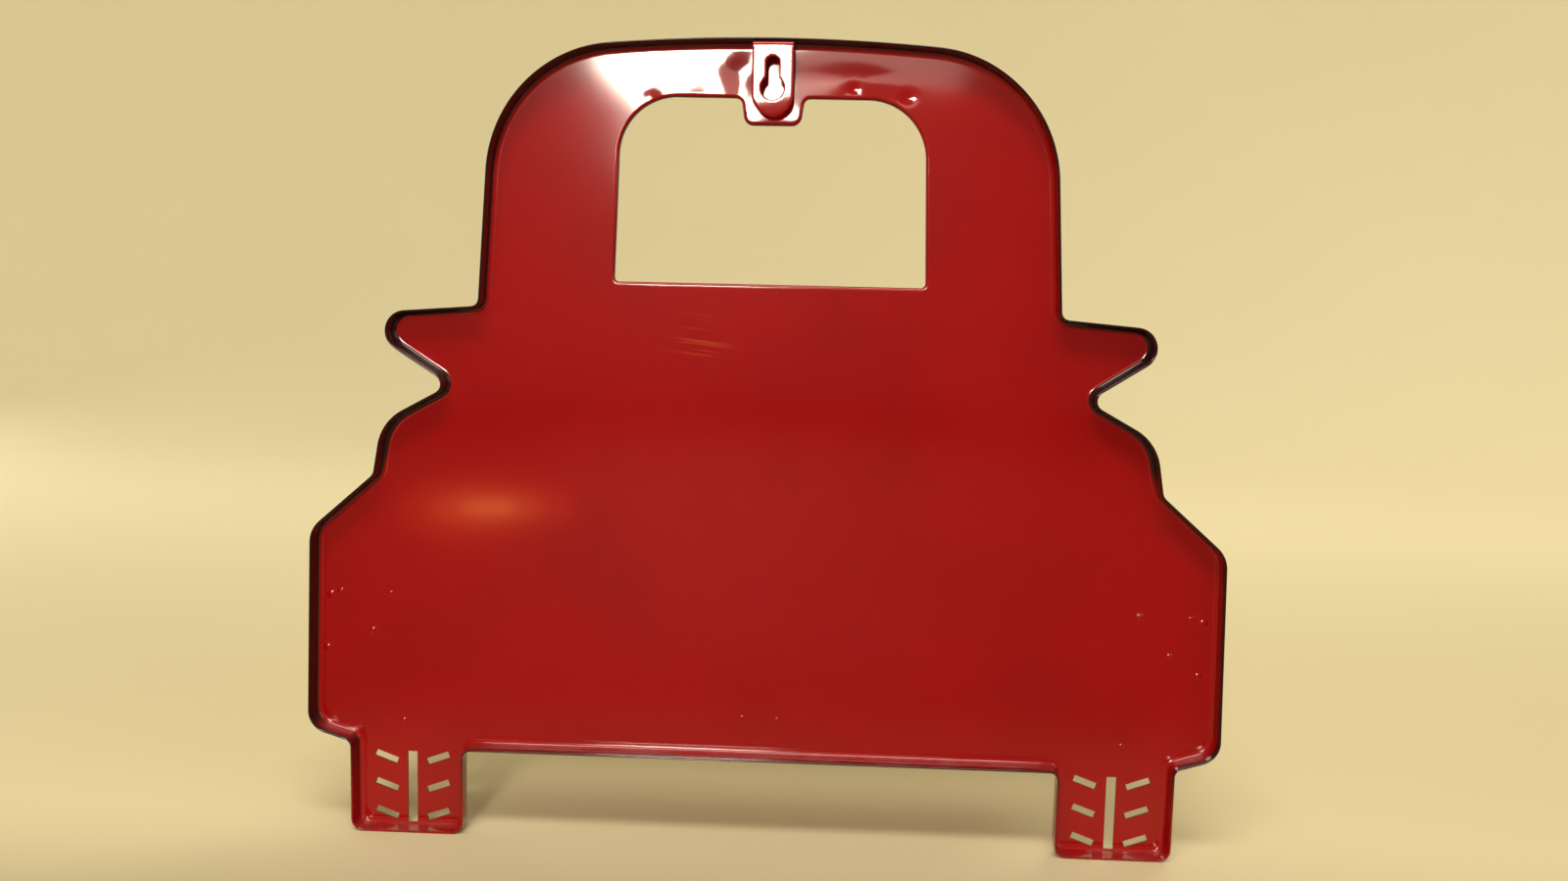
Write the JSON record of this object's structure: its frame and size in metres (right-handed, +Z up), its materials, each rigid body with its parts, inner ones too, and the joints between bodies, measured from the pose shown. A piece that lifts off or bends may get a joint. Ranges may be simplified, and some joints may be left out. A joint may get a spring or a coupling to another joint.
{
  "type": "wall pocket",
  "caption": "Pressed steel wall pocket in the shape of an old pickup truck's tail, hung by a keyhole, with its bed as an open holder.",
  "frame": {"origin": "centre of the hanging hole, on the wall plane that the hanger plate and the rim's free edge share", "axes": "+Z up, +Y towards the wall, +X across the truck, to the right of someone who faces the pocket"},
  "size_m": [0.3716, 0.0882, 0.3232],
  "materials": {
    "red_enamel": "glossy red enamel on pressed steel",
    "black_enamel": "satin black enamel",
    "silver_enamel": "silver enamel, slightly brushed",
    "cream_enamel": "cream enamel, no lettering",
    "plated_trim": "bright plated steel",
    "bare_steel": "drawn steel wire",
    "red_lens": "clear red plastic"
  },
  "bodies": {
    "root": {"body_panel": "red_enamel", "hanger_plate": "red_enamel", "weld_pips": "red_enamel", "tailgate": "red_enamel", "hem_wire": "bare_steel", "bed_side_left": "red_enamel", "bed_side_right": "red_enamel", "bed_floor": "red_enamel", "fender_left": "red_enamel", "fender_right": "red_enamel", "lamp_housing_left": "red_enamel", "lamp_housing_right": "red_enamel", "lamp_bezel_left": "plated_trim", "lamp_bezel_right": "plated_trim", "lamp_lens_left": "red_lens", "lamp_lens_right": "red_lens", "bumper": "silver_enamel", "bumper_bracket_left": "black_enamel", "bumper_bracket_right": "black_enamel", "bumper_bolts": "plated_trim", "bumper_nuts": "plated_trim", "number_plate": "cream_enamel", "plate_rivets": "plated_trim"}
  },
  "joints": []
}
